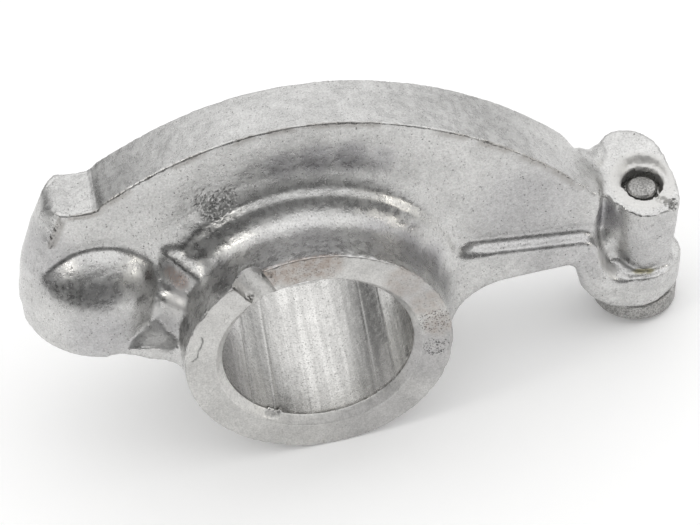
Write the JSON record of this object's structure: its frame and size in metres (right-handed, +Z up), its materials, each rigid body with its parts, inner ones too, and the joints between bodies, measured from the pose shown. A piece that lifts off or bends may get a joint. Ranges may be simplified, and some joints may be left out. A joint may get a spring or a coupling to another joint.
{
  "type": "rocker arm",
  "caption": "Die-cast valve rocker arm with a shaft bore, an oil groove across one end of the barrel, a pushrod cup and a stemmed valve pad.",
  "frame": {"origin": "centre of the shaft bore, on its axis and midway between the end faces of the barrel", "axes": "+Y along the shaft bore, away from the end face with the oil groove; +X towards the valve end; +Z up as the arm stands on a bench on its barrel and the edge of its valve pad, which leans the valve stem's line by the resting angle"},
  "size_m": [0.0699, 0.021, 0.0387],
  "materials": {
    "cast_aluminium": "satin as-cast skin with machined bore, end faces and valve-end face",
    "hardened_steel": "ground, slightly pitted round the edge",
    "cup_steel": "pressed and hardened"
  },
  "bodies": {
    "root": {"arm_casting": "cast_aluminium", "valve_pad": "hardened_steel", "pushrod_cup": "cup_steel"}
  },
  "joints": []
}
